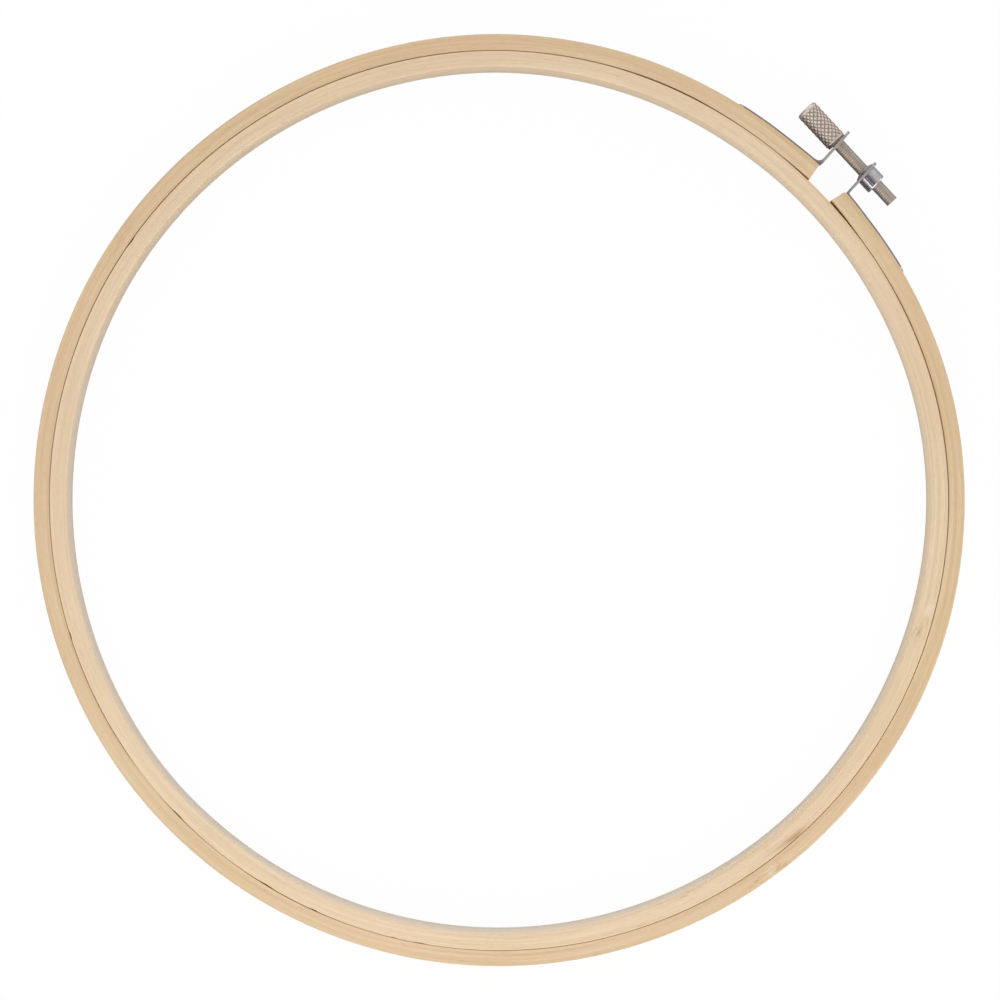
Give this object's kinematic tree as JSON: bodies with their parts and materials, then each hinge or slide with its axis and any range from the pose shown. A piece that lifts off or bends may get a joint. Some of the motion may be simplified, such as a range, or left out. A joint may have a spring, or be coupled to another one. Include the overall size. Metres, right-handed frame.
{
  "type": "embroidery hoop",
  "caption": "Round bamboo embroidery hoop: closed inner ring in a split outer ring that a thumb screw and captive nut clamp.",
  "frame": {"origin": "centre of the work opening, on the rings' common axis at half their height", "axes": "+Z along the rings' axis, out of the work's face; +Y through the cut in the outer ring and its screw; the screw's knurled head points towards -X"},
  "size_m": [0.254, 0.2657, 0.01],
  "materials": {
    "bamboo_inner": "sanded bamboo, pale, satin",
    "bamboo_outer": "sanded bamboo, golden tan, satin",
    "bracket_steel": "zinc-plated sheet, cool grey",
    "screw_nickel": "nickel plate, warm grey, knurled head",
    "nut_steel": "smooth turned steel, cool grey",
    "tack_steel": "domed tack heads, dull"
  },
  "bodies": {
    "head_half": {"outer_ring_head_half": "bamboo_outer", "head_bracket": "bracket_steel", "head_bracket_tack_1": "tack_steel", "head_bracket_tack_2": "tack_steel"},
    "nut_half": {"outer_ring_nut_half": "bamboo_outer", "nut_bracket": "bracket_steel", "captive_nut": "nut_steel", "nut_bracket_tack_1": "tack_steel", "nut_bracket_tack_2": "tack_steel"},
    "screw": {"adjusting_screw": "screw_nickel"},
    "inner_ring": {"inner_ring": "bamboo_inner"}
  },
  "joints": [
    {"name": "screw_turn", "type": "hinge", "parent": "head_half", "child": "screw", "pos_m": [0, 0.13475, 0], "axis": [-0.9998, 0.0195, 0], "range_deg": [-180, 2880]},
    {"name": "ring_flex", "type": "hinge", "parent": "head_half", "child": "nut_half", "pos_m": [0.00463, -0.12471, 0], "axis": [0, 0, -1], "range_deg": [-0.07, 1.06]},
    {"name": "inner_ring_push", "type": "slide", "parent": "head_half", "child": "inner_ring", "axis": [0, 0, 1], "range_m": [0, 0.03]}
  ],
  "couplings": [
    {"joint": "screw_turn", "follows": "ring_flex", "ratio": 2715.6}
  ]
}
